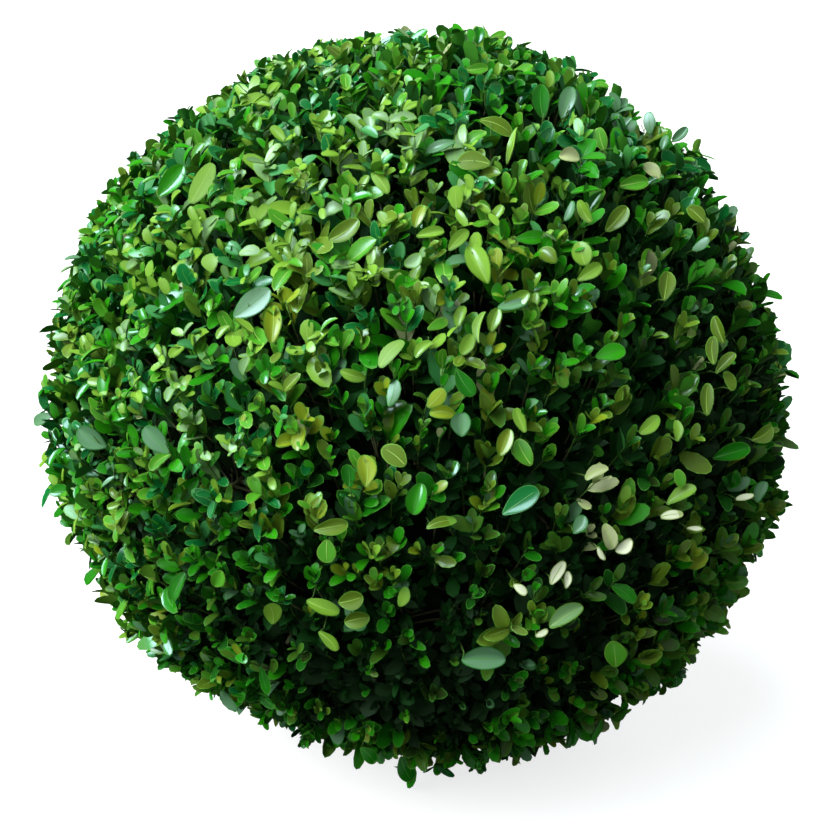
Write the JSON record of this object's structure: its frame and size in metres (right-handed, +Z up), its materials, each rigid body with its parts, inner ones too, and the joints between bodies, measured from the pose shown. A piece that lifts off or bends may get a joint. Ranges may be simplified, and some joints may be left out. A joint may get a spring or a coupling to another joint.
{
  "type": "box topiary ball",
  "caption": "Clipped evergreen box shrub in the shape of a ball, growing from the ground on a short hidden stem.",
  "frame": {"origin": "centre of the stem's flat cut, at ground level", "axes": "+Z up; the side seen in the picture faces -Y, with +X to its right"},
  "size_m": [0.5294, 0.5222, 0.5104],
  "materials": {
    "bark": "rough grey-brown bark with shallow cracks",
    "foliage": "small glossy evergreen leaves, fresh to dark green"
  },
  "bodies": {
    "root": {"stem": "bark", "bough_1": "bark", "bough_2": "bark", "bough_3": "bark", "bough_4": "bark", "bough_5": "bark", "foliage_ball": "foliage"}
  },
  "joints": []
}
